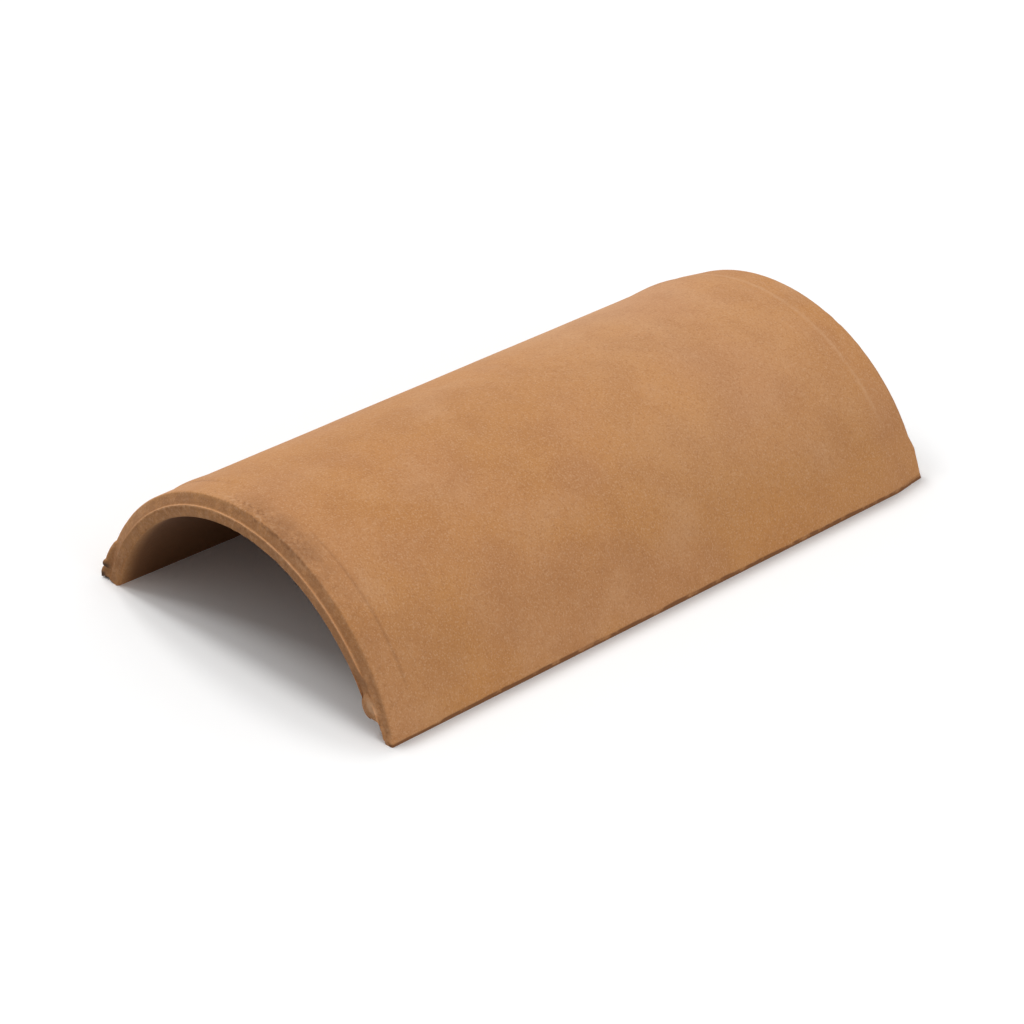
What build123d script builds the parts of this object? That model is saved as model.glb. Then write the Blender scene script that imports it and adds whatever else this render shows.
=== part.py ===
from build123d import *
import os
from math import asin, degrees, sqrt

# A round ridge tile, pressed from clay and fired in one piece.
# The origin is at the middle of its footprint on the floor. X runs across the tile, Y along it,
# with the front end at -Y, and Z is up.

# Overall sizes
length = 450.0
width = 260.0
rise = 98.6

# Wall: thinner at the two mouths, and thicker where the inside has drawn in
wall = 15.2
wall_gain = 2.0
wall_gain_run = 85.0

# Ends: the inner part of the wall stands forward as a tongue, and the outer part is set back
tongue_thickness = 7.8
step_depth = 3.2
tongue_edge_bevel = 0.6
inner_edge_bevel = 1.0

# Front band: slightly sunk, with a low swelling behind it that fades into the barrel
front_edge_radius = 0.8
front_band_width = 21.3
front_band_drop = 0.25
front_swell_height = 0.55
front_swell_steepness = 0.35
front_swell_peak = 27.0
front_swell_end = 42.0

# Rear band: falls away towards the end from a crease, with a low swelling before it
rear_edge_radius = 3.0
rear_band_width = 25.0
rear_band_drop = 0.7
rear_edge_drop = 3.9
rear_swell_height = 0.9
rear_swell_steepness = 0.16
rear_swell_peak = 39.6
rear_swell_end = 60.0

# Feet: towards the floor the outer part of each end slopes out to a pad, nearly flush with the
# tongue at the rear and less so at the front, where a low toe stands out further
front_pad_setback = 2.2
front_pad_height = 12.0
front_pad_start = 30.0
toe_setback = 0.8
toe_height = 2.5
toe_start = 6.0
rear_pad_setback = 0.9
rear_pad_height = 18.0
rear_pad_start = 28.0

# Right front foot: the tongue stops short above a notch, in a rounded nub, and the inner corner of
# what stands below is worn away
notch_height = 11.3
notch_depth = 9.0
notch_thickness = 4.8
corner_run = 7.5
corner_height = 6.0
nub_radius = 5.4
nub_bulge = 2.0

# Left front foot: two small burrs on the outside
lower_burr_radius = 4.0
lower_burr_height = 4.2
lower_burr_bulge = 1.0
upper_burr_radius = 2.8
upper_burr_height = 11.5
upper_burr_bulge = 2.0

# Parting line: a sloping lip along the outside of both feet, with the strip below it set back
parting_height = 3.0
parting_depth = 0.5
parting_lip = 0.5
strip_tuck = 0.8

# How far a joined or cutting shape runs into its neighbour
overlap = 1.0

# The wall is part of a circle whose axis lies below the floor
half_length = length / 2
outer_radius = ((width / 2) ** 2 + rise**2) / (2 * rise)
axis_height = rise - outer_radius
mouth_radius = outer_radius - wall
inside_radius = mouth_radius - wall_gain
tongue_radius = mouth_radius + tongue_thickness


def angle_at(height, radius):
    """The angle round the arch axis at which a radius reaches a height above the floor."""
    return degrees(asin((height - axis_height) / radius))


def across_at(height, radius):
    """How far from the middle plane a radius lies at a height above the floor."""
    return sqrt(radius**2 - (height - axis_height) ** 2)


# Lengthwise section planes at the height of the arch axis: the first direction runs along the tile
# and the second away from the axis, to the right or to the left. Each turns upwards round its axis.
arch_centre = (0, 0, axis_height)
right_plane = Plane(origin=arch_centre, x_dir=(0, 1, 0), z_dir=(0, 0, -1))
right_axis = Axis(arch_centre, (0, -1, 0))
left_plane = Plane(origin=arch_centre, x_dir=(0, 1, 0), z_dir=(0, 0, 1))
left_axis = Axis(arch_centre, (0, 1, 0))

# Places along the tile
front_end = -half_length
front_face = front_end + step_depth
front_crease = front_end + front_band_width
rear_end = half_length
rear_face = rear_end - step_depth
rear_crease = rear_end - rear_band_width

# Section through the wall, from the front tongue over the outside to the rear tongue
front_edge = (front_face, outer_radius - front_band_drop)
rear_edge = (rear_face, outer_radius - rear_edge_drop)
front_tongue = (front_end, tongue_radius)
rear_tongue = (rear_end, tongue_radius)
front_root = (front_face, tongue_radius)
rear_root = (rear_face, tongue_radius)
front_mouth = (front_end, mouth_radius)
rear_mouth = (rear_end, mouth_radius)

# Side outlines of the foot pads, from inside the wall over the pad to below the floor
front_pad = (
    (front_face + overlap, front_pad_start),
    (front_face, front_pad_start),
    (front_end + front_pad_setback, front_pad_height),
    (front_end + front_pad_setback, toe_start),
    (front_end + toe_setback, toe_height),
    (front_end + toe_setback, -overlap),
    (front_face + overlap, -overlap),
)
rear_pad = (
    (rear_face - overlap, rear_pad_start),
    (rear_face, rear_pad_start),
    (rear_end - rear_pad_setback, rear_pad_height),
    (rear_end - rear_pad_setback, -overlap),
    (rear_face - overlap, -overlap),
)

with BuildPart() as ridge_tile:
    # Wall with both stepped ends, swellings and bands, turned round the arch axis
    with BuildSketch(right_plane) as wall_section:
        with BuildLine():
            front_band = Line(front_edge, (front_crease, outer_radius - front_band_drop))
            front_swell = Spline(
                front_band @ 1,
                (front_end + front_swell_peak, outer_radius + front_swell_height),
                (front_end + front_swell_end, outer_radius),
                tangents=((1, front_swell_steepness), (1, 0)),
            )
            barrel = Line(front_swell @ 1, (rear_end - rear_swell_end, outer_radius))
            rear_swell = Spline(
                barrel @ 1,
                (rear_end - rear_swell_peak, outer_radius + rear_swell_height),
                (rear_crease, outer_radius - rear_band_drop),
                tangents=((1, 0), (1, -rear_swell_steepness)),
            )
            Polyline(rear_swell @ 1, rear_edge, rear_root, rear_tongue, rear_mouth)
            Polyline(
                rear_mouth,
                (rear_end - wall_gain_run, inside_radius),
                (front_end + wall_gain_run, inside_radius),
                front_mouth,
            )
            Polyline(front_mouth, front_tongue, front_root, front_edge)
        make_face()
        for edge, radius in ((front_edge, front_edge_radius), (rear_edge, rear_edge_radius)):
            fillet(wall_section.vertices().sort_by_distance(Vector(*edge))[0], radius)
        for edge, bevel in (
            (front_tongue, tongue_edge_bevel),
            (rear_tongue, tongue_edge_bevel),
            (front_mouth, inner_edge_bevel),
            (rear_mouth, inner_edge_bevel),
        ):
            chamfer(wall_section.vertices().sort_by_distance(Vector(*edge))[0], bevel)
    revolve(axis=right_axis, revolution_arc=180)

    # Foot pads, each cut from a long bar to the curve of its end
    for pad_outline, pad_radius in (
        (front_pad, outer_radius - front_band_drop),
        (rear_pad, outer_radius - rear_edge_drop),
    ):
        with BuildPart(mode=Mode.PRIVATE) as pads:
            with BuildSketch(Plane.YZ):
                with BuildLine():
                    Polyline(*pad_outline, close=True)
                make_face()
            extrude(amount=width, both=True)
            with BuildSketch(Plane.XZ):
                with Locations((0, axis_height)):
                    Circle(pad_radius)
                    Circle(tongue_radius - overlap, mode=Mode.SUBTRACT)
            extrude(amount=length, both=True, mode=Mode.INTERSECT)
        add(pads.part)

    # Both feet are cut flat at the floor
    split(bisect_by=Plane.XY, keep=Keep.TOP)

    # Notch below the tongue at the right front foot
    notch_radius = mouth_radius + notch_thickness
    with BuildSketch(right_plane):
        with BuildLine():
            Polyline(
                (front_end - overlap, inside_radius - overlap),
                (front_end + notch_depth, inside_radius - overlap),
                (front_end + notch_depth, notch_radius),
                (front_end + front_pad_setback, notch_radius),
                (front_end + front_pad_setback, tongue_radius),
                (front_end - overlap, tongue_radius),
                close=True,
            )
        make_face()
    revolve(axis=right_axis, revolution_arc=angle_at(notch_height, tongue_radius), mode=Mode.SUBTRACT)

    # Worn inner corner of the same foot
    corner = across_at(corner_height, notch_radius)
    corner_end = across_at(0, notch_radius) + corner_run
    with BuildSketch(Plane.XZ.offset(-front_end - notch_depth)):
        with BuildLine():
            Polyline(
                (corner - overlap, -overlap),
                (corner - overlap, corner_height),
                (corner, corner_height),
                (corner_end, 0),
                (corner_end, -overlap),
                close=True,
            )
        make_face()
    extrude(amount=notch_depth + overlap, mode=Mode.SUBTRACT)

    # Nub that rounds off the tongue above the notch
    nub_height = notch_height + nub_radius
    nub_distance = mouth_radius + nub_radius - nub_bulge
    with Locations((across_at(nub_height, nub_distance), front_end + nub_radius, nub_height)):
        Sphere(nub_radius)

    # Parting line along the outside of both feet, open past the highest swelling
    lip_bottom = across_at(parting_height, outer_radius) - parting_depth
    lip_mouth = across_at(0, outer_radius + rear_swell_height) + overlap
    lip_rise = (lip_mouth - lip_bottom) * parting_lip / parting_depth
    strip_foot = across_at(0, outer_radius) - strip_tuck
    with BuildSketch(Plane.XZ):
        with BuildLine():
            Polyline(
                (lip_bottom, parting_height),
                (lip_mouth, parting_height + lip_rise),
                (lip_mouth, -overlap),
                (strip_foot, -overlap),
                (strip_foot, 0),
                close=True,
            )
        make_face()
        mirror(about=Plane.YZ)
    extrude(amount=half_length + overlap, both=True, mode=Mode.SUBTRACT)

    # Burrs on the outside of the left front foot
    for radius, height, bulge in (
        (lower_burr_radius, lower_burr_height, lower_burr_bulge),
        (upper_burr_radius, upper_burr_height, upper_burr_bulge),
    ):
        burr_distance = outer_radius - front_band_drop + bulge - radius
        with Locations((-across_at(height, burr_distance), front_end + radius, height)):
            Sphere(radius)

ridge_tile.part.label = "ridge_tile"
os.makedirs("parts", exist_ok=True)
export_step(ridge_tile.part, "parts/ridge_tile.step")
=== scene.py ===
"""Round ridge tile of fired clay, and the studio it stands in."""

from math import cos, pi, radians, sin

import bpy
import numpy as np
from bpy.props import FloatProperty, FloatVectorProperty, IntProperty, PointerProperty
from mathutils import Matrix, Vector


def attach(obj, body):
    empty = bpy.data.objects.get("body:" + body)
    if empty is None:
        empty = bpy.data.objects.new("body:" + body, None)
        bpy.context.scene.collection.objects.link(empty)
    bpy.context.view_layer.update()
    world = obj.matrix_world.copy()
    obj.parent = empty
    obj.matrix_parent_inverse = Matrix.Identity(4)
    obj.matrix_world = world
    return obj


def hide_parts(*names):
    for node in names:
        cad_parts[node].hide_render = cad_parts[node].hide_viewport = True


bl_info = {
    "name": "Round ridge tile",
    "version": (1, 0, 0),
    "blender": (4, 5, 0),
    "location": "View3D > Sidebar > Ridge Tile",
    "description": "Builds a fired clay ridge tile and the studio it stands in",
    "category": "Add Mesh",
}

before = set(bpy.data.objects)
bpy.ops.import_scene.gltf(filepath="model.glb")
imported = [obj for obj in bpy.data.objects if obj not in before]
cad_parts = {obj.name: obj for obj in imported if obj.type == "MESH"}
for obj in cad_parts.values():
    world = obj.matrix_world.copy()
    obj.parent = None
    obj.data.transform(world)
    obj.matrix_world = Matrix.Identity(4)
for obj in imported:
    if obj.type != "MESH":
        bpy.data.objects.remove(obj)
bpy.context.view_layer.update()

# One millimetre in metres
MM = 0.001

# Kinds and settings of nodes that come back often
MATH = "ShaderNodeMath"
RANGE = "ShaderNodeMapRange"
NOISE = "ShaderNodeTexNoise"
MIX = "ShaderNodeMix"
SOFT = {"interpolation_type": "SMOOTHSTEP"}
COLOUR = {"data_type": "RGBA"}
WHITE = (1.0, 1.0, 1.0, 1.0)


def linear(code):
    """An sRGB hex colour as linear red, green, blue and alpha."""
    parts = [int(code[i:i + 2], 16) / 255 for i in (0, 2, 4)]
    return [p / 12.92 if p <= 0.04045 else ((p + 0.055) / 1.055) ** 2.4 for p in parts] + [1.0]


class RidgeTileSizes(bpy.types.PropertyGroup):
    """Sizes of the tile"""

    length: FloatProperty(
        name="Length", default=0.450, unit="LENGTH",
        description="From end to end")
    width: FloatProperty(
        name="Width", default=0.260, unit="LENGTH",
        description="Across both feet of the plain barrel")
    rise: FloatProperty(
        name="Rise", default=0.0986, unit="LENGTH",
        description="From the floor to the crest of the plain barrel")
    wall: FloatProperty(
        name="Wall", default=0.0152, unit="LENGTH",
        description="Thickness at the two mouths")
    wall_gain: FloatProperty(
        name="Wall gain", default=0.0020, unit="LENGTH",
        description="How much thicker the wall is away from the mouths")
    wall_gain_run: FloatProperty(
        name="Wall gain run", default=0.085, unit="LENGTH",
        description="Distance from a mouth over which the wall thickens")
    tongue: FloatProperty(
        name="Tongue", default=0.0078, unit="LENGTH",
        description="Thickness of the inner part of the wall that stands forward at the ends")
    step: FloatProperty(
        name="Step", default=0.0032, unit="LENGTH",
        description="How far the outer part of each end is set back")
    ledge: FloatProperty(
        name="Ledge", default=0.0013, unit="LENGTH",
        description="What is left of the step beside the tongue, as the end face leans out to it")
    root: FloatProperty(
        name="Step root", default=0.0006, unit="LENGTH",
        description="Radius of the hollow corner between the end face and the tongue")
    mouth_round: FloatProperty(
        name="Mouth rounding", default=0.0012, unit="LENGTH",
        description="Radius of the inner edge at both mouths")
    front_round: FloatProperty(
        name="Front rounding", default=0.0016, unit="LENGTH",
        description="Radius of the front band's outer edge")
    front_band: FloatProperty(
        name="Front band", default=0.0213, unit="LENGTH",
        description="From the front end to its crease")
    front_drop: FloatProperty(
        name="Front band drop", default=0.00025, unit="LENGTH",
        description="How far the front band lies under the barrel")
    front_swell: FloatProperty(
        name="Front swelling", default=0.00055, unit="LENGTH",
        description="Height of the swelling behind the front band")
    front_swell_rise: FloatProperty(
        name="Front swelling rise", default=0.0045, unit="LENGTH",
        description="Distance behind the crease over which it rises")
    front_swell_peak: FloatProperty(
        name="Front swelling peak", default=0.0270, unit="LENGTH",
        description="From the front end to where it starts to fade")
    front_swell_end: FloatProperty(
        name="Front swelling end", default=0.042, unit="LENGTH",
        description="From the front end to where it has faded")
    rear_round: FloatProperty(
        name="Rear rounding", default=0.0026, unit="LENGTH",
        description="Radius of the rear band's outer edge")
    rear_band: FloatProperty(
        name="Rear band", default=0.025, unit="LENGTH",
        description="From the rear end to its crease")
    rear_drop: FloatProperty(
        name="Rear crease drop", default=0.0007, unit="LENGTH",
        description="How far the rear crease lies under the barrel")
    rear_fall: FloatProperty(
        name="Rear band fall", default=0.0032, unit="LENGTH",
        description="How far the rear band falls towards its end")
    rear_swell: FloatProperty(
        name="Rear swelling", default=0.0009, unit="LENGTH",
        description="Height of the swelling before the rear band")
    rear_swell_peak: FloatProperty(
        name="Rear swelling peak", default=0.0396, unit="LENGTH",
        description="From the rear end to where it is highest")
    rear_swell_end: FloatProperty(
        name="Rear swelling end", default=0.060, unit="LENGTH",
        description="From the rear end to where it has faded")
    front_pad: FloatProperty(
        name="Front pad setback", default=0.0022, unit="LENGTH",
        description="What is left of the step at the front feet")
    front_pad_height: FloatProperty(
        name="Front pad height", default=0.012, unit="LENGTH",
        description="From the floor to the top of the front pads")
    front_pad_start: FloatProperty(
        name="Front pad start", default=0.030, unit="LENGTH",
        description="Height at which the end face starts to slope out to them")
    toe: FloatProperty(
        name="Toe setback", default=0.0008, unit="LENGTH",
        description="What is left of the step at the floor, at the front")
    toe_height: FloatProperty(
        name="Toe height", default=0.0025, unit="LENGTH",
        description="From the floor to the top of the toes")
    toe_start: FloatProperty(
        name="Toe start", default=0.006, unit="LENGTH",
        description="Height at which the pads start to slope out to the toes")
    rear_pad: FloatProperty(
        name="Rear pad setback", default=0.0009, unit="LENGTH",
        description="What is left of the step at the rear feet")
    rear_pad_height: FloatProperty(
        name="Rear pad height", default=0.018, unit="LENGTH",
        description="From the floor to the fullest place of the rear pads")
    rear_pad_start: FloatProperty(
        name="Rear pad start", default=0.028, unit="LENGTH",
        description="Height at which the end face starts to slope out to them")
    lip_height: FloatProperty(
        name="Parting line height", default=0.0019, unit="LENGTH",
        description="From the floor to the parting line")
    lip_depth: FloatProperty(
        name="Parting line depth", default=0.0005, unit="LENGTH",
        description="How far the strip under the parting line is set back")
    lip_round: FloatProperty(
        name="Parting line rounding", default=0.0017, unit="LENGTH",
        description="Height over which the outside turns in to the parting line")
    strip_tuck: FloatProperty(
        name="Strip tuck", default=0.0003, unit="LENGTH",
        description="How far the strip is set back at the floor")
    notch_height: FloatProperty(
        name="Notch height", default=0.0102, unit="LENGTH",
        description="Height of the notch at the right front foot")
    notch_depth: FloatProperty(
        name="Notch depth", default=0.0090, unit="LENGTH",
        description="How far the notch runs into the tile")
    notch_thickness: FloatProperty(
        name="Notch thickness", default=0.0048, unit="LENGTH",
        description="How much of the wall its deep part takes, from the inside")
    nub: FloatProperty(
        name="Nub rounding", default=0.0060, unit="LENGTH",
        description="Radius of the tongue's rounded corner over the notch")
    nub_bulge: FloatProperty(
        name="Nub bulge", default=0.0026, unit="LENGTH",
        description="How far that corner's circle reaches in past the mouth")
    nub_edge: FloatProperty(
        name="Nub edge", default=0.0026, unit="LENGTH",
        description="Radius of the same corner's front edge")
    nub_height: FloatProperty(
        name="Nub height", default=0.0180, unit="LENGTH",
        description="From the floor to the middle of the ball at the tongue's end")
    rounds: IntProperty(
        name="Rounds", default=300, min=24,
        description="Rows of faces from foot to foot")


class FiredClay(bpy.types.PropertyGroup):
    """Colours and grain of the fired clay"""

    body: FloatVectorProperty(
        name="Body", default=linear("BE8651"), subtype="COLOR", size=4, min=0.0, max=1.0,
        description="Main colour of the fired clay")
    warm: FloatVectorProperty(
        name="Warm", default=linear("C3874C"), subtype="COLOR", size=4, min=0.0, max=1.0,
        description="Where the fire has turned the clay more orange")
    # Pale also paints the highlight on the crest and along the lit lines of the tongue, the rear crease and
    # the nub
    pale: FloatVectorProperty(
        name="Pale", default=linear("D1A37B"), subtype="COLOR", size=4, min=0.0, max=1.0,
        description="Bloom of fine sand on the face, and rubbed edges")
    rose: FloatVectorProperty(
        name="Rose", default=linear("BA8664"), subtype="COLOR", size=4, min=0.0, max=1.0,
        description="Cooler, pinkish patches of the face")
    dark: FloatVectorProperty(
        name="Dark", default=linear("A0673A"), subtype="COLOR", size=4, min=0.0, max=1.0,
        description="Darker grains and stains of the face")
    # Painted shade: this colour darkens the creases, the parting line, the foot's lowest edge, the front end
    # face and the inside; it is also the colour of the pits along worn edges
    crease: FloatVectorProperty(
        name="Crease", default=linear("7E5230"), subtype="COLOR", size=4, min=0.0, max=1.0,
        description="Clay in creases and pits, and deep inside")
    # Painted shade on the lower sides of the burrs on the left front foot
    burr_shade: FloatVectorProperty(
        name="Burnt", default=linear("4A3527"), subtype="COLOR", size=4, min=0.0, max=1.0,
        description="Thin clay that the fire has browned")
    grain: FloatProperty(
        name="Grain", default=0.0011, unit="LENGTH",
        description="Size of the sand grains in the face")


class StudioSettings(bpy.types.PropertyGroup):
    """Camera and lights"""

    azimuth: FloatProperty(
        name="Azimuth", default=radians(46.38), subtype="ANGLE",
        description="Camera's direction round the tile")
    elevation: FloatProperty(
        name="Elevation", default=radians(29.3), subtype="ANGLE",
        description="Camera's height angle")
    distance: FloatProperty(
        name="Distance", default=2.0867, unit="LENGTH",
        description="From the camera to the middle of the footprint")
    lens: FloatProperty(
        name="Lens", default=119.98,
        description="Focal length in millimetres, for a sensor 36 mm wide")
    shift_x: FloatProperty(
        name="Shift across", default=-0.01303,
        description="How far the picture is moved sideways, as a share of its width")
    shift_y: FloatProperty(
        name="Shift up", default=0.0141,
        description="How far the picture is moved up, as a share of its width")
    key: FloatProperty(
        name="Key light", default=0.86,
        description="Strength of the narrow light over the left side")
    back_key: FloatProperty(
        name="Back key light", default=0.59,
        description="Strength of the narrow light over the left rear")
    front_key: FloatProperty(
        name="Front key light", default=0.50,
        description="Strength of the narrow light over the left front")
    right: FloatProperty(
        name="Right light", default=0.84,
        description="Strength of the low light on the right")
    upper: FloatProperty(
        name="Upper right light", default=0.42,
        description="Strength of the broad light from above the right")
    left: FloatProperty(
        name="Left light", default=0.64,
        description="Strength of the low light on the left")
    dome: FloatProperty(
        name="Room light", default=0.38,
        description="Strength of the even light from all sides")
    floor_tone: FloatProperty(
        name="Floor tone", default=0.55,
        description="Share of light that the floor throws back under the arch")


def add(tree, kind, settings=None, inputs=None):
    """Adds a node, sets its properties, and gives its inputs values or links."""
    node = tree.nodes.new(kind)
    for name, value in (settings or {}).items():
        setattr(node, name, value)
    for key, value in (inputs or {}).items():
        if isinstance(value, bpy.types.NodeSocket):
            tree.links.new(value, node.inputs[key])
        else:
            node.inputs[key].default_value = value
    return node


def smooth(value, start, end):
    """0 at start and 1 at end, with soft ends, for arrays."""
    x = np.clip((value - start) / (end - start), 0.0, 1.0)
    return x * x * (3 - 2 * x)


class Arch:
    """Radii and places that the sizes lead to, in metres."""

    def __init__(self, sizes):
        self.end = sizes.length / 2
        self.face = self.end - sizes.step
        self.outer = ((sizes.width / 2) ** 2 + sizes.rise ** 2) / (2 * sizes.rise)
        self.axis = sizes.rise - self.outer
        self.mouth = self.outer - sizes.wall
        self.inside = self.mouth - sizes.wall_gain
        self.tongue = self.mouth + sizes.tongue
        self.ledge = self.end - sizes.ledge

    def across(self, height, radius):
        """How far from the middle plane a radius lies at a height above the floor."""
        return np.sqrt(radius ** 2 - (height - self.axis) ** 2)


# Zones of the wall's section
OUTER, FACE, STEP, TONGUE, INSIDE = range(5)

# How far in from the front end the inside has its close rows, which the notch squeezes back
FRONT_REACH = 18.0 * MM
# How far the tongue's small rounding reaches
TONGUE_EDGE = 0.4 * MM
# How far to the right of the crest the front edge is worn most
WORN_AT = 22.0 * MM


def outside_relief(y, sizes, arch):
    """How far the outside stands off the plain barrel at a place along the tile."""
    front = y + arch.end
    rear = arch.end - y
    band = sizes.front_band
    height = sizes.front_swell
    risen = smooth(front, band, band + sizes.front_swell_rise)
    rising = (sizes.front_drop + height) * risen - sizes.front_drop
    fading = height * smooth(front, sizes.front_swell_end, sizes.front_swell_peak)
    lift = np.where(front < band, -sizes.front_drop, rising)
    lift = np.where(front > sizes.front_swell_peak, fading, lift)
    band = sizes.rear_band
    peak = sizes.rear_swell_peak
    height = sizes.rear_swell
    before = height * smooth(rear, sizes.rear_swell_end, peak)
    falling = height - (height + sizes.rear_drop) * smooth(rear, peak, band)
    lift = np.where(rear < sizes.rear_swell_end, np.where(rear >= peak, before, falling), lift)
    taper = -sizes.rear_drop - sizes.rear_fall * (band - rear) / (band - sizes.step)
    return np.where(rear < band, taper, lift)


def wall_outline(sizes, arch):
    """The wall's closed section, from the front edge over the outside: places (along, radius), and for each
    its zone, how worn it is and how much painted shade it takes, as in a crease, or below zero how much
    painted highlight it takes."""
    outline = []

    def put(along, radius, zone, wear, crease=0.0):
        outline.append((along, radius, zone, wear, crease))

    def run(start, end, step, zone, wear_from, wear_to):
        """Evenly spaced places from start up to, not including, end."""
        count = max(1, round((Vector(end) - Vector(start)).length / step))
        for i in range(count):
            spot = Vector(start).lerp(Vector(end), i / count)
            put(spot.x, spot.y, zone, wear_from + (wear_to - wear_from) * i / count)

    # Outside, from the front edge's rounding to the rear edge's
    soft = sizes.front_round
    front_top = arch.outer - sizes.front_drop
    for i in range(6):
        turn = radians(180 - 18 * i)
        put(-arch.face + soft + soft * cos(turn), front_top - soft + soft * sin(turn), OUTER, 0.85)
    # Where each stretch of the outside starts, and how far apart its places lie: close at both creases
    crease = -arch.end + sizes.front_band
    rear_crease = arch.end - sizes.rear_band
    stretches = (
        (-arch.face + soft + 1.0 * MM, 1.0 * MM),
        (-arch.end + 12.5 * MM, 1.5 * MM),
        (crease - 1.5 * MM, 0.6 * MM),
        (crease + 5.1 * MM, 1.6 * MM),
        (-arch.end + sizes.front_swell_end + 2.0 * MM, 6.0 * MM),
        (arch.end - sizes.rear_swell_end - 2.0 * MM, 1.7 * MM),
        (rear_crease - 3.0 * MM, 0.75 * MM),
        (rear_crease + 3.0 * MM, 1.5 * MM),
        (arch.face - sizes.rear_round - 0.4 * MM, 0.0),
    )
    for (start, spacing), (end, _) in zip(stretches, stretches[1:]):
        for y in np.linspace(start, end, round((end - start) / spacing) + 1)[:-1]:
            # Worn at the front edge and a little behind it, painted shade in the front crease, a painted
            # highlight along the rear one
            lift = float(outside_relief(y, sizes, arch))
            behind = y + arch.face
            painted_shading = max(0.0, 1 - abs(y - crease - 0.2 * MM) / (1.7 * MM))
            rear_highlight = max(0.0, 1 - abs(y - rear_crease) / (2.6 * MM))
            edge = max(0.0, 1 - behind / (3.0 * MM))
            crumbs = max(0.0, 1 - abs(behind - 5.5 * MM) / (5.5 * MM))
            put(y, arch.outer + lift, OUTER, 0.5 * edge + crumbs, 0.5 * painted_shading - 1.2 * rear_highlight)
    soft = sizes.rear_round
    rear_top = arch.outer + float(outside_relief(arch.face - soft, sizes, arch))
    for i in range(7):
        turn = radians(82 - 82 * i / 6)
        put(arch.face - soft + soft * cos(turn), rear_top - soft + soft * sin(turn), OUTER, 0.12)
    # Rear end: face, hollow root with painted shade, tongue, rounded mouth
    root = sizes.root
    mouth = sizes.mouth_round
    run((arch.face, rear_top - soft - 0.6 * MM), (arch.ledge, arch.tongue + root), 1.0 * MM, FACE, 0.2, 0.2)
    put(arch.ledge, arch.tongue + root, STEP, 0.2, 0.3)
    put(arch.ledge + 0.3 * root, arch.tongue + 0.3 * root, STEP, 0.2, 0.3)
    put(arch.ledge + root, arch.tongue, STEP, 0.3)
    put(arch.end - TONGUE_EDGE, arch.tongue, TONGUE, 0.6)
    put(arch.end - 0.12 * MM, arch.tongue - 0.12 * MM, TONGUE, 0.8)
    run((arch.end, arch.tongue - 0.5 * MM), (arch.end, arch.mouth + mouth), 1.1 * MM, TONGUE, 0.4, 0.4)
    for i in range(5):
        turn = radians(90 - 22 * i)
        put(arch.end - mouth + mouth * sin(turn), arch.mouth + mouth - mouth * cos(turn),
            TONGUE if i < 3 else INSIDE, 0.5)
    # Inside, from the rear mouth to the front mouth
    gain = arch.end - sizes.wall_gain_run
    rear = (arch.end - 13.0 * MM, arch.mouth - 0.3 * MM)
    front = (-arch.end + FRONT_REACH, arch.mouth - 0.4 * MM)
    run((arch.end - mouth, arch.mouth), rear, 2.0 * MM, INSIDE, 0.4, 0.0)
    run(rear, (gain, arch.inside), 5.0 * MM, INSIDE, 0.0, 0.0)
    run((gain, arch.inside), (-gain, arch.inside), 9.0 * MM, INSIDE, 0.0, 0.0)
    run((-gain, arch.inside), front, 5.0 * MM, INSIDE, 0.0, 0.0)
    run(front, (-arch.end + mouth, arch.mouth), 1.3 * MM, INSIDE, 0.0, 0.5)
    # Front end: rounded mouth, tongue with a painted highlight along its outer edge, hollow root with painted
    # shade, face
    for i in range(4):
        turn = radians(2 + 22 * i)
        put(-arch.end + mouth - mouth * sin(turn), arch.mouth + mouth - mouth * cos(turn),
            INSIDE if i < 2 else TONGUE, 0.5)
    run((-arch.end, arch.mouth + mouth), (-arch.end, arch.tongue - 0.5 * MM), 0.9 * MM, TONGUE, 0.45, 0.6)
    put(-arch.end, arch.tongue - TONGUE_EDGE, TONGUE, 0.8, -0.8)
    put(-arch.end + 0.12 * MM, arch.tongue - 0.12 * MM, TONGUE, 0.9, -1.6)
    put(-arch.end + TONGUE_EDGE, arch.tongue, TONGUE, 0.9, -1.6)
    put(-arch.ledge - root, arch.tongue, STEP, 0.3, -0.6)
    put(-arch.ledge - 0.3 * root, arch.tongue + 0.3 * root, STEP, 0.2, 0.4)
    put(-arch.ledge, arch.tongue + root, STEP, 0.2, 0.4)
    run((-arch.ledge + 0.2 * MM, arch.tongue + root + 0.8 * MM),
        (-arch.face, front_top - sizes.front_round - 0.5 * MM), 0.95 * MM, FACE, 0.3, 0.6)
    return outline


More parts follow.
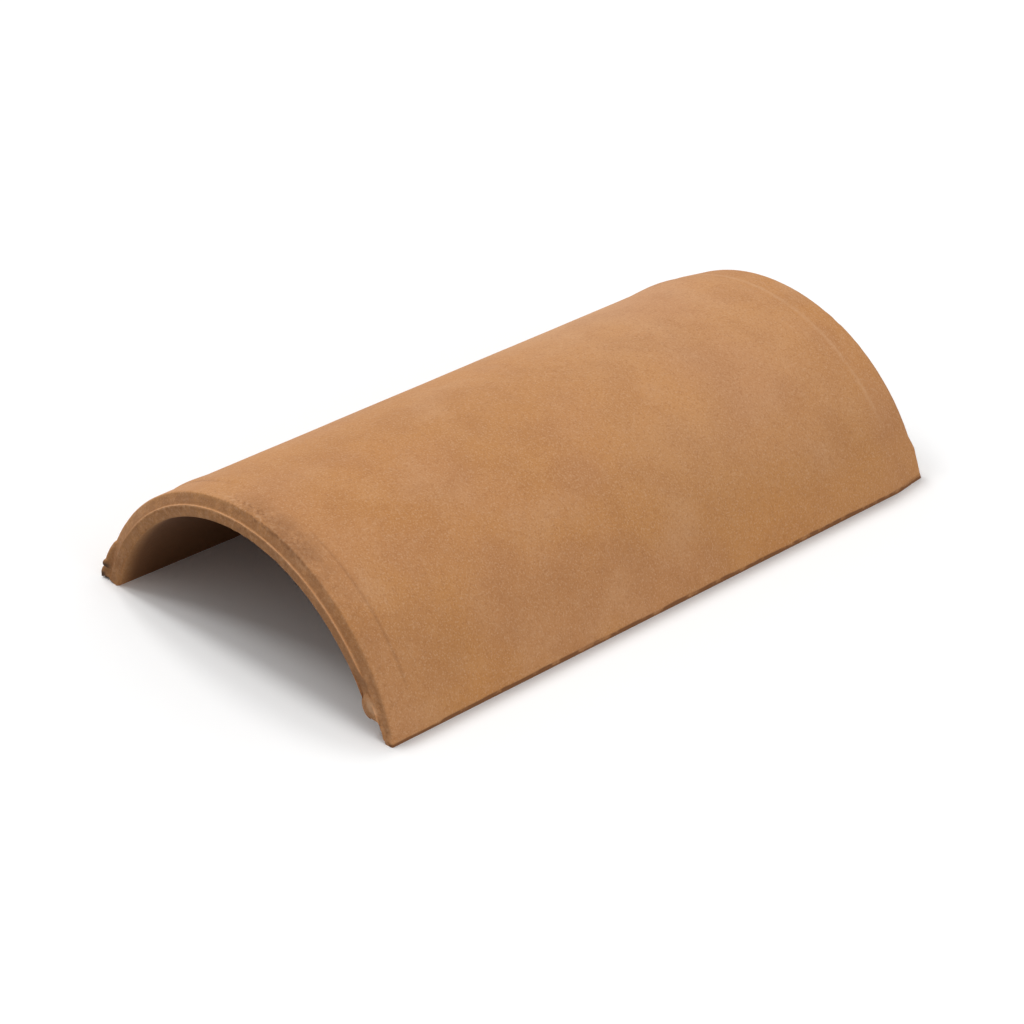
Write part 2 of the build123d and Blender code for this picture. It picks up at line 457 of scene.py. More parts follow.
def arch_nodes():
    """Geometry nodes that carry the wall's section round the arch, cut both feet flat, and wear and dent the
    clay. Everything is pushed inwards, so the tile keeps its size."""
    tree = bpy.data.node_groups.new("Clay arch", "GeometryNodeTree")
    face = tree.interface
    face.new_socket(name="Section", in_out="INPUT", socket_type="NodeSocketGeometry")
    for name, kind, value in (
        ("Rounds", "NodeSocketInt", 300),
        ("Axis Height", "NodeSocketFloat", -0.0364),
        ("Hollow Depth", "NodeSocketFloat", 0.0004),
        ("Hollow Size", "NodeSocketFloat", 0.070),
        ("Ripple Depth", "NodeSocketFloat", 0.00014),
        ("Ripple Size", "NodeSocketFloat", 0.013),
        ("Wear Depth", "NodeSocketFloat", 0.0005),
        ("Wear Size", "NodeSocketFloat", 0.0042),
        ("Worst Wear At", "NodeSocketFloat", WORN_AT),
    ):
        face.new_socket(name=name, in_out="INPUT", socket_type=kind).default_value = value
    face.new_socket(name="Clay", in_out="INPUT", socket_type="NodeSocketMaterial")
    face.new_socket(name="Tile", in_out="OUTPUT", socket_type="NodeSocketGeometry")
    given = add(tree, "NodeGroupInput").outputs

    # The section's own places, kept on its points
    section = add(tree, "GeometryNodeMeshToCurve", None, {"Mesh": given["Section"]})
    kept = add(tree, "GeometryNodeCaptureAttribute", {"domain": "POINT"})
    kept.capture_items.new("VECTOR", "Place")
    tree.links.new(section.outputs[0], kept.inputs["Geometry"])
    tree.links.new(add(tree, "GeometryNodeInputPosition").outputs[0], kept.inputs["Place"])
    place = add(tree, "ShaderNodeSeparateXYZ", None, {0: kept.outputs["Place"]}).outputs
    # A straight path with one point for each row; how far along it is says how far round the arch
    path = add(tree, "GeometryNodeCurvePrimitiveLine", None, {"End": (0.0, 0.0, 1.0)})
    count = add(tree, MATH, {"operation": "ADD"}, {0: given["Rounds"], 1: 1.0})
    rows = add(tree, "GeometryNodeResampleCurve", None, {"Curve": path.outputs[0], "Count": count.outputs[0]})
    way = add(tree, "GeometryNodeCaptureAttribute", {"domain": "POINT"})
    way.capture_items.new("FLOAT", "Way")
    tree.links.new(rows.outputs[0], way.inputs["Geometry"])
    tree.links.new(add(tree, "GeometryNodeSplineParameter").outputs["Factor"], way.inputs["Way"])
    swept = add(tree, "GeometryNodeCurveToMesh", None, {
        "Curve": way.outputs["Geometry"], "Profile Curve": kept.outputs["Geometry"], "Fill Caps": True})
    outward = add(tree, "GeometryNodeFlipFaces", None, {"Mesh": swept.outputs[0]})
    # Rows lie closer together near the feet, by this share
    closer = 0.6
    angle = add(tree, MATH, {"operation": "MULTIPLY"}, {0: way.outputs["Way"], 1: 2 * pi})
    wave = add(tree, MATH, {"operation": "SINE"}, {0: angle.outputs[0]})
    even = add(tree, MATH, {"operation": "MULTIPLY_ADD"},
               {0: wave.outputs[0], 1: -closer / (2 * pi), 2: way.outputs["Way"]})
    # Each radius runs from where it meets the floor at the left foot to where it meets it at the right
    dip = add(tree, MATH, {"operation": "DIVIDE"}, {0: given["Axis Height"], 1: place["Y"]})
    below = add(tree, MATH, {"operation": "ARCSINE"}, {0: dip.outputs[0]})
    left = add(tree, MATH, {"operation": "ADD"}, {0: below.outputs[0], 1: pi})
    right = add(tree, MATH, {"operation": "MULTIPLY"}, {0: below.outputs[0], 1: -1.0})
    turn = add(tree, RANGE, None,
               {"Value": even.outputs[0], "To Min": left.outputs[0], "To Max": right.outputs[0]})
    cosine = add(tree, MATH, {"operation": "COSINE"}, {0: turn.outputs[0]})
    sine = add(tree, MATH, {"operation": "SINE"}, {0: turn.outputs[0]})
    across = add(tree, MATH, {"operation": "MULTIPLY"}, {0: place["Y"], 1: cosine.outputs[0]})
    height = add(tree, MATH, {"operation": "MULTIPLY_ADD"},
                 {0: place["Y"], 1: sine.outputs[0], 2: given["Axis Height"]})
    spot = add(tree, "ShaderNodeCombineXYZ", None,
               {"X": across.outputs[0], "Y": place["X"], "Z": height.outputs[0]})
    arched = add(tree, "GeometryNodeSetPosition", None,
                 {"Geometry": outward.outputs[0], "Position": spot.outputs[0]})
    # Broad hollows and small ripples everywhere, and worn edges where the section says so
    here = add(tree, "GeometryNodeInputPosition").outputs[0]
    depth = 0.0
    for size, amount, detail in (("Hollow Size", "Hollow Depth", 1.0), ("Ripple Size", "Ripple Depth", 2.0)):
        scale = add(tree, MATH, {"operation": "DIVIDE"}, {0: 1.0, 1: given[size]})
        noise = add(tree, NOISE, None, {"Vector": here, "Scale": scale.outputs[0], "Detail": detail})
        depth = add(tree, MATH, {"operation": "MULTIPLY_ADD"},
                    {0: noise.outputs[0], 1: given[amount], 2: depth}).outputs[0]
    scale = add(tree, MATH, {"operation": "DIVIDE"}, {0: 1.0, 1: given["Wear Size"]})
    noise = add(tree, NOISE, None, {"Vector": here, "Scale": scale.outputs[0], "Detail": 2.0})
    chips = add(tree, RANGE, SOFT, {
        "Value": noise.outputs[0], "From Min": 0.38, "From Max": 0.72, "To Max": given["Wear Depth"]})
    worn = add(tree, "GeometryNodeInputNamedAttribute", {"data_type": "FLOAT"}, {"Name": "wear"})
    aside = add(tree, MATH, {"operation": "SUBTRACT"}, {0: across.outputs[0], 1: given["Worst Wear At"]})
    far = add(tree, MATH, {"operation": "ABSOLUTE"}, {0: aside.outputs[0]})
    local = add(tree, RANGE, SOFT, {
        "Value": far.outputs[0], "From Min": 0.020, "From Max": 0.045, "To Min": 1.0, "To Max": 0.25})
    amount = add(tree, MATH, {"operation": "MULTIPLY"}, {0: worn.outputs[0], 1: local.outputs[0]})
    depth = add(tree, MATH, {"operation": "MULTIPLY_ADD"},
                {0: amount.outputs[0], 1: chips.outputs[0], 2: depth}).outputs[0]
    # The soles stay flat on the floor
    fade = add(tree, RANGE, SOFT, {
        "Value": height.outputs[0], "From Min": 0.0, "From Max": 0.004, "To Min": 0.0, "To Max": -1.0})
    inward = add(tree, MATH, {"operation": "MULTIPLY"}, {0: depth, 1: fade.outputs[0]})
    push = add(tree, "ShaderNodeVectorMath", {"operation": "SCALE"},
               {0: add(tree, "GeometryNodeInputNormal").outputs[0], "Scale": inward.outputs[0]})
    dented = add(tree, "GeometryNodeSetPosition", None,
                 {"Geometry": arched.outputs[0], "Offset": push.outputs[0]})
    solid = add(tree, "GeometryNodeRealizeInstances", None, {"Geometry": dented.outputs[0]})
    clay = add(tree, "GeometryNodeSetMaterial", None,
               {"Geometry": solid.outputs[0], "Material": given["Clay"]})
    add(tree, "NodeGroupOutput", None, {"Tile": clay.outputs[0]})
    return tree


def fired_clay(look):
    """Terracotta: sandy clay pressed in a mould and fired without glaze. It is dry and quite matt, with a
    faint dusty sheen where it turns away, fine sand in the face, soft clouds of orange and rose from the
    fire, and pale crumbs along worn edges. Light and shade are also painted into the colour: a painted
    highlight on the crest and along lit edges and the nub, and painted shade in the creases, on the front end
    face, along the foot, under the burrs and deep inside."""
    material = bpy.data.materials.new("Terracotta, pressed and fired")
    material.use_nodes = True
    tree = material.node_tree
    tree.nodes.clear()
    here = add(tree, "ShaderNodeTexCoord").outputs["Object"]
    worn = add(tree, "ShaderNodeAttribute", {"attribute_name": "wear"}).outputs["Fac"]
    painted_shading = add(tree, "ShaderNodeAttribute", {"attribute_name": "crease"}).outputs["Fac"]
    inside_shade = add(tree, "ShaderNodeAttribute", {"attribute_name": "inside"}).outputs["Fac"]
    lit_crest = add(tree, "ShaderNodeAttribute", {"attribute_name": "crest_highlight"}).outputs["Fac"]
    # The painted highlight lightens the crest a little over half way to pale
    highlight_share = add(tree, MATH, {"operation": "MULTIPLY"}, {0: lit_crest, 1: 0.55})
    colour = add(tree, MIX, COLOUR, {"Factor": highlight_share.outputs[0], 6: look.body[:], 7: look.pale[:]}).outputs[2]
    # Size in metres, detail, where the noise starts and ends to count, strength, colour. The sand is drawn
    # a little coarser than the real grit of half a millimetre, which is too fine to show.
    for size, detail, low, high, strength, tint in (
        (0.120, 3.0, 0.40, 0.64, 0.50, look.warm),
        (0.085, 2.0, 0.45, 0.68, 0.30, look.rose),
        (0.050, 3.0, 0.50, 0.74, 0.25, look.pale),
        (0.0320, 1.0, 0.55, 0.35, 0.16, look.dark),
        (0.0050, 2.0, 0.50, 0.72, 0.13, look.pale),
        (0.0042, 2.0, 0.50, 0.30, 0.13, look.dark),
        (look.grain, 1.0, 0.48, 0.76, 0.52, look.pale),
        (look.grain * 1.2, 1.0, 0.50, 0.24, 0.36, look.dark),
    ):
        noise = add(tree, NOISE, None, {"Vector": here, "Scale": 1.0 / size, "Detail": detail})
        part = add(tree, RANGE, SOFT,
                   {"Value": noise.outputs[0], "From Min": low, "From Max": high, "To Max": strength})
        colour = add(tree, MIX, COLOUR, {"Factor": part.outputs[0], 6: colour, 7: tint[:]}).outputs[2]
    # Crumbs and pits along the worn edges
    crumb_size, break_size, pore_size = 2.4 * MM, 7.0 * MM, 3.2 * MM
    crumbs = add(tree, NOISE, None, {"Vector": here, "Scale": 1.0 / crumb_size, "Detail": 3.0})
    for low, high, strength, tint in ((0.52, 0.70, 0.9, look.pale), (0.48, 0.32, 0.6, look.crease)):
        part = add(tree, RANGE, SOFT,
                   {"Value": crumbs.outputs[0], "From Min": low, "From Max": high, "To Max": strength})
        here_worn = add(tree, MATH, {"operation": "MULTIPLY", "use_clamp": True},
                        {0: part.outputs[0], 1: worn})
        colour = add(tree, MIX, COLOUR, {"Factor": here_worn.outputs[0], 6: colour, 7: tint[:]}).outputs[2]
    # Broken painted shade where the crease value is positive, and broken painted highlight where it is
    # negative
    broken = add(tree, NOISE, None, {"Vector": here, "Scale": 1.0 / break_size, "Detail": 3.0})
    for sign, strength, tint in ((1.0, 0.75, look.crease), (-1.0, 0.35, look.pale)):
        part = add(tree, RANGE, SOFT,
                   {"Value": broken.outputs[0], "From Min": 0.30, "From Max": 0.56,
                    "To Min": 0.35 * sign * strength, "To Max": sign * strength})
        line = add(tree, MATH, {"operation": "MULTIPLY", "use_clamp": True}, {0: part.outputs[0], 1: painted_shading})
        colour = add(tree, MIX, COLOUR, {"Factor": line.outputs[0], 6: colour, 7: tint[:]}).outputs[2]
    # Painted shade: the inside is darkened nearly to the crease colour, and the burrs' lower sides are
    # darkened further
    shade = add(tree, MATH, {"operation": "MULTIPLY"}, {0: inside_shade, 1: 0.95})
    colour = add(tree, MIX, COLOUR, {"Factor": shade.outputs[0], 6: colour, 7: look.crease[:]}).outputs[2]
    burr_shade_share = add(tree, "ShaderNodeAttribute", {"attribute_name": "burr_shade"}).outputs["Fac"]
    colour = add(tree, MIX, COLOUR, {"Factor": burr_shade_share, 6: colour, 7: look.burr_shade[:]}).outputs[2]
    # Sand grains, and open pores that are half as deep again
    sand = add(tree, NOISE, None, {"Vector": here, "Scale": 1.0 / look.grain, "Detail": 2.0})
    pores = add(tree, NOISE, None, {"Vector": here, "Scale": 1.0 / pore_size, "Detail": 1.0})
    height = add(tree, MATH, {"operation": "MULTIPLY_ADD"}, {0: pores.outputs[0], 1: 1.5, 2: sand.outputs[0]})
    bump = add(tree, "ShaderNodeBump", None,
               {"Strength": 0.5, "Distance": 0.3 * MM, "Height": height.outputs[0]})
    shader = add(tree, "ShaderNodeBsdfPrincipled", None,
                 {"Base Color": colour, "Roughness": 0.92, "IOR": 1.45, "Sheen Weight": 0.06,
                  "Sheen Roughness": 0.4, "Normal": bump.outputs[0]})
    add(tree, "ShaderNodeOutputMaterial", None, {"Surface": shader.outputs[0]})
    return material


def point_places(mesh):
    """The place of every point, one row each."""
    found = np.empty(len(mesh.vertices) * 3)
    mesh.vertices.foreach_get("co", found)
    return found.reshape(-1, 3)


def point_values(mesh, name, kind=float):
    """What an attribute says of every point."""
    found = np.empty(len(mesh.vertices), dtype=kind)
    mesh.attributes[name].data.foreach_get("value", found)
    return found


def keep_values(mesh, name, found):
    """Writes a number for every point into an attribute, which is made where there is none."""
    kept = mesh.attributes.get(name) or mesh.attributes.new(name, "FLOAT", "POINT")
    kept.data.foreach_set("value", found)


def parting_line(y, sizes, arch):
    """The parting line's height, which wanders a little, and its strength. Both fall to half at the front."""
    wander = 0.14 * MM * (np.sin(y * 61) + np.sin(y * 173 + 1.1) + 0.6 * np.sin(y * 417 + 2.3))
    full = 0.5 + 0.5 * smooth(y, -arch.end, -arch.end + 90.0 * MM)
    return (sizes.lip_height + wander) * full, full


def shape_feet(mesh, sizes, arch):
    """Slopes the four ends out to their foot pads, turns the outside in to the parting line, and gives the
    front feet their notch, nub and burrs. Also keeps the painted shade on the burrs' lower sides."""
    place = point_places(mesh)
    zone = point_values(mesh, "zone", np.int32)
    x, y, z = place.T.copy()
    radius = np.hypot(x, z - arch.axis)
    side = np.sign(y)
    out = np.abs(y)
    right_front = (x > 0) & (y < 0)
    outside = (zone == OUTER) | (zone == FACE)

    # Pads: the face comes forward towards the floor, and the outside behind it follows. The rear pads are
    # fullest at the top.
    toe, pad = sizes.step - sizes.toe, sizes.step - sizes.front_pad
    front_fill = np.interp(
        z, (sizes.toe_height, sizes.toe_start, sizes.front_pad_height, sizes.front_pad_start),
        (toe, pad, pad, 0.0))
    pad = sizes.step - sizes.rear_pad
    rear_fill = np.interp(
        z, (sizes.rear_pad_height - 5.0 * MM, sizes.rear_pad_height, sizes.rear_pad_start),
        (pad, pad + 0.4 * MM, 0.0))
    filled = np.where(y < 0, front_fill, rear_fill)
    follow = smooth(out, arch.face - 10.0 * MM, arch.face - 1.0 * MM)
    moved = out + np.where(zone == OUTER, filled * follow, 0.0)
    moved = np.where(zone == FACE, np.maximum(out, arch.face + filled), moved)

    # Right front foot: the tongue ends in a rounded corner over a notch, which is shallow over the outer
    # half and deep over the inner, and it is a little worn away above this nub
    middle = arch.mouth + sizes.nub - sizes.nub_bulge
    sunk = np.maximum(sizes.notch_height + sizes.nub - z, 0.0)
    aside = np.maximum(middle - radius, 0.0)
    inside_by = sizes.nub - np.hypot(aside, sunk)
    low = right_front & (inside_by < 0)
    turned = np.clip(1 - inside_by / sizes.nub_edge, 0.0, 1.0)
    rounding = sizes.nub_edge * (1 - np.sqrt(1 - turned ** 2)) * right_front * smooth(z, 24.0 * MM, 16.0 * MM)
    worn_back = 1.6 * MM * smooth(z, 19.5 * MM, 21.5 * MM) * smooth(z, 42.0 * MM, 27.0 * MM) * right_front
    cut = np.where(radius < arch.mouth + sizes.notch_thickness, sizes.notch_depth, sizes.front_pad)
    back = np.where(low, cut, np.maximum(rounding, worn_back))
    moved = np.where(zone == TONGUE, moved - back, moved)
    squeeze = np.clip(1 - (arch.end - out) / FRONT_REACH, 0.0, 1.0)
    moved = np.where((zone == INSIDE) & low, moved - sizes.notch_depth * squeeze, moved)

    # The step's hollow root runs between the face and the tongue's edge
    share = (out - arch.ledge) / (sizes.ledge - TONGUE_EDGE)
    root = np.maximum(arch.face + filled, arch.ledge)
    edge = arch.end - TONGUE_EDGE - np.where(low, sizes.front_pad, worn_back)
    moved = np.where(zone == STEP, np.maximum(root + (edge - root) * share, root - 0.2 * MM), moved)
    place[:, 1] = side * moved

    # Worn inner corner of the same foot, up to 6 mm high: what lies inside a sloping line is squeezed
    # against it
    line = 126.7 * MM - 1.585 * z
    notched = moved > arch.end - sizes.notch_depth - 0.5 * MM
    corner = right_front & notched & (z < 6.0 * MM) & (x < line)
    place[:, 0] = np.where(corner, line - 0.02 * (line - x), place[:, 0])

    # The outside turns in to the parting line; the strip below it is set back, and its lower edge is
    # worn round
    lip, full = parting_line(y, sizes, arch)
    rise = np.clip((lip + sizes.lip_round - z) / sizes.lip_round, 0.0, 1.0)
    tuck = sizes.lip_depth * full * (1 - np.sqrt(1 - rise ** 2))
    inner = arch.across(lip, arch.outer) - sizes.lip_depth * full
    foot = arch.across(0.0, arch.outer) - sizes.strip_tuck
    edge_round = 0.2 * MM * np.clip(1 - z / (0.8 * MM), 0.0, 1.0) ** 1.5
    strip = foot + (inner - foot) * z / lip - edge_round
    # Both swellings fade towards the floor
    lift = outside_relief(y, sizes, arch)
    lift = np.where((y < 0) | (lift > 0), lift, 0.0) * 0.6 * smooth(z, 60.0 * MM, 15.0 * MM)
    plain = np.abs(x) - lift * radius / np.maximum(np.abs(x), 50.0 * MM)
    half = np.where(z < lip, np.minimum(plain, strip), plain - tuck)
    place[:, 0] = np.where(outside, np.sign(x) * half, place[:, 0])

    # Nub on the right front foot: a flattened ball that the end of the tongue is drawn out to
    ball_across = float(arch.across(sizes.nub_height, arch.mouth + 2.6 * MM))
    centre = np.array((ball_across, -arch.end + 3.1 * MM, sizes.nub_height))
    reach = np.array((6.6, 3.0, 8.8)) * MM
    away = (place - centre) / reach
    gap = np.linalg.norm(away, axis=1)
    held = ((zone == INSIDE) | (zone == TONGUE)) & (gap < 1.0) & (gap > 1e-6)
    place[held] = centre + away[held] / gap[held, None] * reach

    # Left front foot: the clay stands out a little, with two burrs on its outer edge. Each is given in
    #     millimetres by its height, its half height and depth, and how far it stands out sideways and
    #     forwards, and then by how much painted shade its lower side takes.
    left_front = (x < 0) & (y < 0) & outside & (z > 1e-6)
    near_edge = smooth(radius, arch.outer - 6.5 * MM, arch.outer - 1.5 * MM) * left_front
    thin_edge = smooth(radius, arch.outer - 6.0 * MM, arch.outer - 3.0 * MM) * left_front
    behind = (arch.end - out - sizes.front_pad) / MM
    up = z / MM
    burr_shade = np.zeros(len(place))
    for level, tall, deep, aside, ahead, dark in (
        (13.0, 15.5, 15.0, 2.0, 1.3, 0.0),
        (10.4, 2.9, 3.6, 1.2, 0.9, 1.0),
        (4.0, 4.0, 3.6, 1.4, 0.9, 1.0),
    ):
        within = np.clip(1 - ((up - level) / tall) ** 2 - (behind / deep) ** 2, 0.0, 1.0) ** 0.6
        place[:, 0] -= aside * MM * within * near_edge
        place[:, 1] -= ahead * MM * within * near_edge
        below = smooth(up, level + 0.5 * tall, level - 0.3 * tall)
        lower_shade = (0.30 + 0.65 * below) * smooth(within, 0.05, 0.45) * thin_edge
        burr_shade = np.maximum(burr_shade, dark * lower_shade)
    keep_values(mesh, "burr_shade", burr_shade)
    # Its sole is hollow beside the lower burr, and the inner corner is worn away
    across = (116.8 * MM, 123.5 * MM, 127.5 * MM, 129.0 * MM)
    hollow = np.interp(-place[:, 0], across, (0.0, 1.9 * MM, 1.9 * MM, 0.2 * MM))
    hollow *= smooth(-place[:, 1], arch.end - 10.0 * MM, arch.end - 4.0 * MM) * (y < 0)
    place[:, 2] += hollow * np.clip(1 - z / (4.5 * MM), 0.0, 1.0)
    worn_corner = 0.8 * np.clip(x + 115.0 * MM, 0.0, 4.0 * MM) * smooth(z, 12.0 * MM, 2.0 * MM)
    worn_corner *= smooth(-place[:, 1], arch.end - 8.0 * MM, arch.end - 2.0 * MM) * (x < 0) * (y < 0)
    place[:, 1] += worn_corner

    # Nothing stands past the solid's feet and ends, or below the floor
    bound = np.array((foot, arch.end))
    place[:, :2] = np.clip(place[:, :2], -bound, bound)
    place[:, 2] = np.maximum(place[:, 2], 0.0)
    mesh.vertices.foreach_set("co", place.reshape(-1))
    mesh.update()


def mark_clay(mesh, before, sizes, arch):
    """Keeps for the material where the clay takes painted shade (in creases, along the foot, on the front end
    face and deep inside) or a painted highlight (on the crest and along lit lines), and where it is worn.
    The marks are laid out on the places from before the feet were shaped."""
    zone = point_values(mesh, "zone", np.int32)
    crease = point_values(mesh, "crease")
    wear = point_values(mesh, "wear")
    x, y, z = before.T
    radius = np.hypot(x, z - arch.axis)
    tongue = (zone == TONGUE) | (zone == STEP)

    # The painted shade of the front crease shows on the flanks only, and the painted highlight lines fade
    # towards the feet
    flank = smooth(z, 99.0 * MM, 87.0 * MM) * smooth(z, 15.0 * MM, 45.0 * MM)
    crease = np.where((crease > 0) & (zone == OUTER), crease * flank, crease)
    crease = np.where(crease < 0, crease * smooth(z, 30.0 * MM, 60.0 * MM), crease)
    # Painted shade along the parting line, weaker at the rear end, and along the lowest edge of the outside,
    # where it turns under
    lip, _ = parting_line(y, sizes, arch)
    near_lip = 1.7 * np.clip(1 - np.abs(z - lip - 0.1 * MM) / (1.0 * MM), 0.0, 1.0) + 0.6 * (z < lip)
    near_lip *= 0.3 + 0.7 * smooth(y, arch.end, arch.end - 60.0 * MM)
    near_floor = 3.0 * smooth(z, 1.7 * MM, 0.9 * MM)
    crease = np.where((z < 6.0 * MM) & (zone == OUTER), np.maximum(near_lip, near_floor), crease)
    # Darker patches: two on the front band to the right of the crest. Painted shade over the front end face,
    # which faces
    #     away from the light, weaker low on the right foot
    streaks = 0.42 * smooth(np.abs(x - 30.0 * MM), 48.0 * MM, 20.0 * MM)
    streaks += 0.18 * smooth(np.abs(x - 65.0 * MM), 52.0 * MM, 30.0 * MM)
    streaks *= (zone == OUTER) * smooth(y, -arch.end + 26.0 * MM, -arch.end + 12.0 * MM)
    crease = np.where(crease >= 0, np.maximum(crease, streaks), crease)
    end_shade = 0.55 * (y < 0) * np.where(x > 0, 0.3 + 0.7 * smooth(z, 10.0 * MM, 30.0 * MM), 1.0)
    end_shade *= (zone == FACE) | ((zone == TONGUE) & (crease > -0.1))
    crease = np.where(end_shade > 0, np.maximum(crease, end_shade), crease)
    # Painted highlight on the lit top of the nub, at the end of the tongue
    nub_highlight = smooth(z, 14.0 * MM, 17.0 * MM) * smooth(z, 23.0 * MM, 20.0 * MM)
    nub_highlight *= smooth(radius, arch.mouth + 1.5 * MM, arch.mouth + 4.0 * MM) * tongue * (x > 0) * (y < 0)
    keep_values(mesh, "crease", crease - 2.6 * nub_highlight)

    # Wear is worst on the right of the crest, along the tongue to the left of it, and at the front feet
    along_tongue = tongue * smooth(np.abs(x + 50.0 * MM), 50.0 * MM, 30.0 * MM)
    worst = np.maximum(smooth(np.abs(x - WORN_AT), 45.0 * MM, 20.0 * MM), along_tongue)
    wear *= np.where(y < 0, 0.3 + 0.7 * worst, 0.4)
    feet = (y < 0) * smooth(z, 45.0 * MM, 20.0 * MM) * (tongue | (zone == FACE))
    keep_values(mesh, "wear", np.maximum(wear, 0.45 * feet))
    # Painted highlight: the crest is paler, the more so towards the rear, where more light falls
    crest_highlight = smooth(z, 20.0 * MM, 95.0 * MM) * smooth(y, -60.0 * MM, 150.0 * MM)
    keep_values(mesh, "crest_highlight", crest_highlight * smooth(y, 215.0 * MM, 170.0 * MM))
    # Painted shade deep inside, growing from each mouth to full at about 14 mm in
    depth = arch.end - np.abs(point_places(mesh)[:, 1])
    keep_values(mesh, "inside", (zone == INSIDE) * smooth(depth, -2.0 * MM, 14.0 * MM))


class RIDGE_OT_tile(bpy.types.Operator):
    """Builds the clay tile over its solid"""

    bl_idname = "ridge.tile"
    bl_label = "Build the tile"

    def execute(self, context):
        scene = context.scene
        sizes = scene.ridge_sizes
        arch = Arch(sizes)
        outline = wall_outline(sizes, arch)
        section = bpy.data.meshes.new("Wall section")
        count = len(outline)
        section.from_pydata([(spot[0], spot[1], 0.0) for spot in outline],
                            [(i, (i + 1) % count) for i in range(count)], [])
        for name, kind, column in (("zone", "INT", 2), ("wear", "FLOAT", 3), ("crease", "FLOAT", 4)):
            kept = section.attributes.new(name, kind, "POINT")
            kept.data.foreach_set("value", [spot[column] for spot in outline])
        maker = bpy.data.objects.new("Section", section)
        scene.collection.objects.link(maker)
        tree = arch_nodes()
        sweep = maker.modifiers.new("Clay arch", "NODES")
        sweep.node_group = tree
        values = {"Rounds": sizes.rounds, "Axis Height": arch.axis, "Clay": fired_clay(scene.ridge_clay)}
        for item in tree.interface.items_tree:
            if item.in_out == "INPUT" and item.name in values:
                sweep[item.identifier] = values[item.name]
        context.view_layer.update()
        mesh = bpy.data.meshes.new_from_object(maker.evaluated_get(context.evaluated_depsgraph_get()))
        maker.modifiers.remove(sweep)
        bpy.data.objects.remove(maker)
        if not mesh.polygons:
            raise RuntimeError("the sweep gave no faces")
        before = point_places(mesh)
        shape_feet(mesh, sizes, arch)
        mark_clay(mesh, before, sizes, arch)
        mesh.attributes.remove(mesh.attributes["zone"])
        mesh.name = "Clay tile"
        mesh.polygons.foreach_set("use_smooth", [True] * len(mesh.polygons))
        mesh.set_sharp_from_angle(angle=radians(50))
        tile = bpy.data.objects.new("clay_tile", mesh)
        scene.collection.objects.link(tile)
        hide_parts("ridge_tile")
        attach(tile, "root")
        return {"FINISHED"}


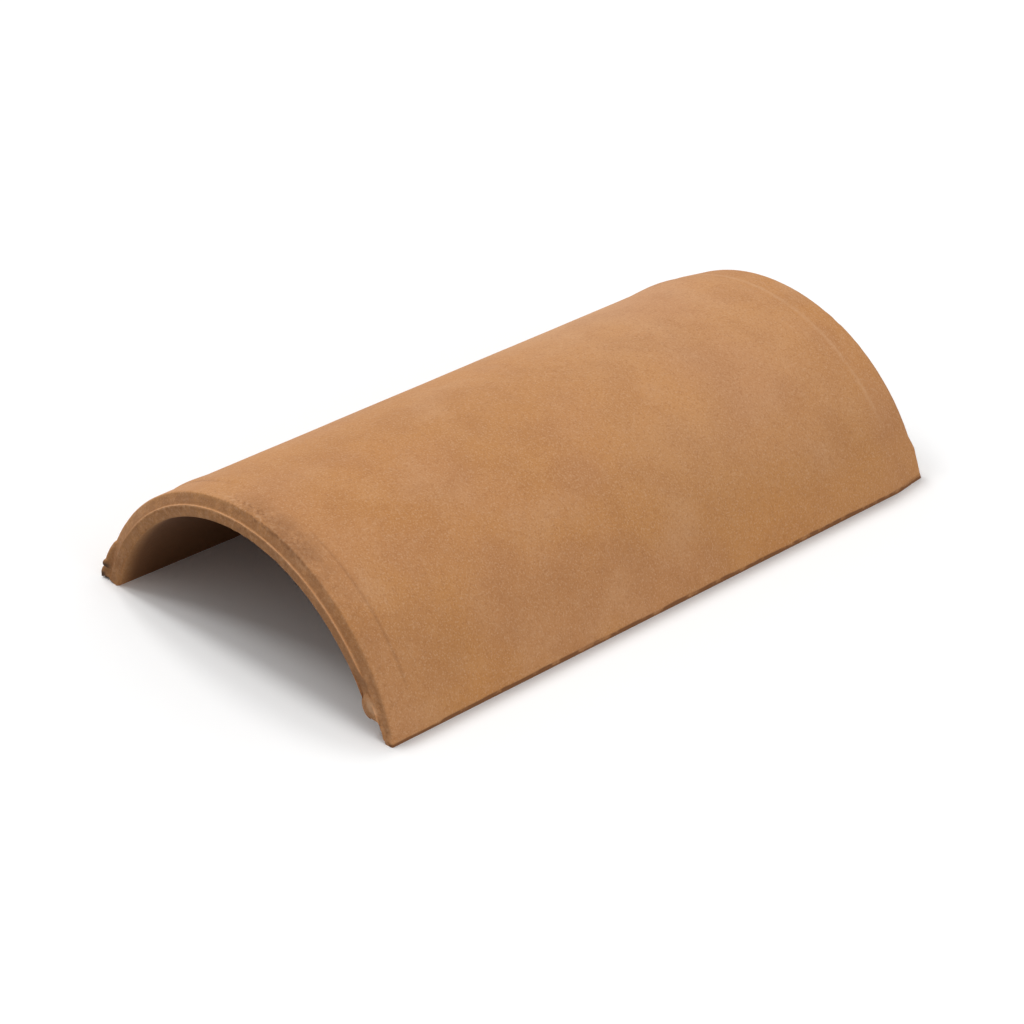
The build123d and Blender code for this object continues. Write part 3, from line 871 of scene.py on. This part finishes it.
class RIDGE_OT_studio(bpy.types.Operator):
    """Lays the pale floor and sets the lights and the camera"""

    bl_idname = "ridge.studio"
    bl_label = "Set the studio"

    def execute(self, context):
        scene = context.scene
        studio = scene.ridge_studio
        # Floor: matt white paper, seen as white, and throwing less light back under the arch
        sheet = bpy.data.meshes.new("Paper floor")
        reach = 6.0
        sheet.from_pydata([(-reach, -reach, 0), (reach, -reach, 0), (reach, reach, 0), (-reach, reach, 0)],
                          [], [(0, 1, 2, 3)])
        floor = bpy.data.objects.new("paper_floor", sheet)
        scene.collection.objects.link(floor)
        paper = bpy.data.materials.new("Matt white paper")
        paper.use_nodes = True
        tree = paper.node_tree
        tree.nodes.clear()
        seen = add(tree, "ShaderNodeLightPath").outputs["Is Camera Ray"]
        dim = [studio.floor_tone] * 3 + [1.0]
        tone = add(tree, MIX, COLOUR, {"Factor": seen, 6: dim, 7: WHITE})
        matt = add(tree, "ShaderNodeBsdfDiffuse", None, {"Color": tone.outputs[2]})
        add(tree, "ShaderNodeOutputMaterial", None, {"Surface": matt.outputs[0]})
        sheet.materials.append(paper)
        # Room: even light, white where the camera sees it
        world = bpy.data.worlds.new("Studio room")
        scene.world = world
        world.use_nodes = True
        tree = world.node_tree
        tree.nodes.clear()
        seen = add(tree, "ShaderNodeLightPath").outputs["Is Camera Ray"]
        even = add(tree, "ShaderNodeBackground", None, {"Color": WHITE, "Strength": studio.dome})
        white = add(tree, "ShaderNodeBackground", None, {"Color": WHITE, "Strength": 1.0})
        both = add(tree, "ShaderNodeMixShader", None, {0: seen, 1: even.outputs[0], 2: white.outputs[0]})
        add(tree, "ShaderNodeOutputWorld", None, {"Surface": both.outputs[0]})
        # Lights far off, each with its direction round the tile, its height and how wide it spreads, in
        # degrees. The narrow ones come in just over the arch, and leave the dark line at the right foot.
        for name, around, height, spread, strength in (
            ("Key light", 270, 56, 12, studio.key),
            ("Back key light", 240, 57, 14, studio.back_key),
            ("Front key light", 300, 54, 16, studio.front_key),
            ("Right light", 90, 8, 14, studio.right),
            ("Upper right light", 90, 45, 35, studio.upper),
            ("Left light", 270, 8, 14, studio.left),
        ):
            lamp = bpy.data.lights.new(name, "SUN")
            lamp.energy = strength
            lamp.angle = radians(spread)
            light = bpy.data.objects.new(name.lower().replace(" ", "_"), lamp)
            a, e = radians(around), radians(height)
            towards = Vector((sin(a) * cos(e), -cos(a) * cos(e), sin(e)))
            light.location = towards * 3.0
            light.rotation_euler = towards.to_track_quat("Z", "Y").to_euler()
            scene.collection.objects.link(light)
        # Camera
        view = bpy.data.cameras.new("Camera")
        view.lens = studio.lens
        view.sensor_width = 36.0
        view.shift_x = studio.shift_x
        view.shift_y = studio.shift_y
        eye = bpy.data.objects.new("camera", view)
        level = cos(studio.elevation) * studio.distance
        eye.location = (sin(studio.azimuth) * level, -cos(studio.azimuth) * level,
                        sin(studio.elevation) * studio.distance)
        eye.rotation_euler = (-eye.location).to_track_quat("-Z", "Y").to_euler()
        scene.collection.objects.link(eye)
        scene.camera = eye
        scene.view_settings.view_transform = "Standard"
        return {"FINISHED"}


class RIDGE_PT_panel(bpy.types.Panel):
    """Sizes, clay and studio of the ridge tile"""

    bl_label = "Ridge Tile"
    bl_idname = "RIDGE_PT_panel"
    bl_space_type = "VIEW_3D"
    bl_region_type = "UI"
    bl_category = "Ridge Tile"

    def draw(self, context):
        scene = context.scene
        for group, operator in (
            (scene.ridge_sizes, "ridge.tile"),
            (scene.ridge_clay, "ridge.tile"),
            (scene.ridge_studio, "ridge.studio"),
        ):
            box = self.layout.box()
            for name in group.__annotations__:
                box.prop(group, name)
            box.operator(operator)


CLASSES = (RidgeTileSizes, FiredClay, StudioSettings, RIDGE_OT_tile, RIDGE_OT_studio, RIDGE_PT_panel)


def register():
    for kind in CLASSES:
        bpy.utils.register_class(kind)
    bpy.types.Scene.ridge_sizes = PointerProperty(type=RidgeTileSizes)
    bpy.types.Scene.ridge_clay = PointerProperty(type=FiredClay)
    bpy.types.Scene.ridge_studio = PointerProperty(type=StudioSettings)


def unregister():
    for name in ("ridge_sizes", "ridge_clay", "ridge_studio"):
        delattr(bpy.types.Scene, name)
    for kind in reversed(CLASSES):
        bpy.utils.unregister_class(kind)


def main():
    register()
    bpy.ops.ridge.studio()
    bpy.ops.ridge.tile()


if __name__ == "__main__":
    main()
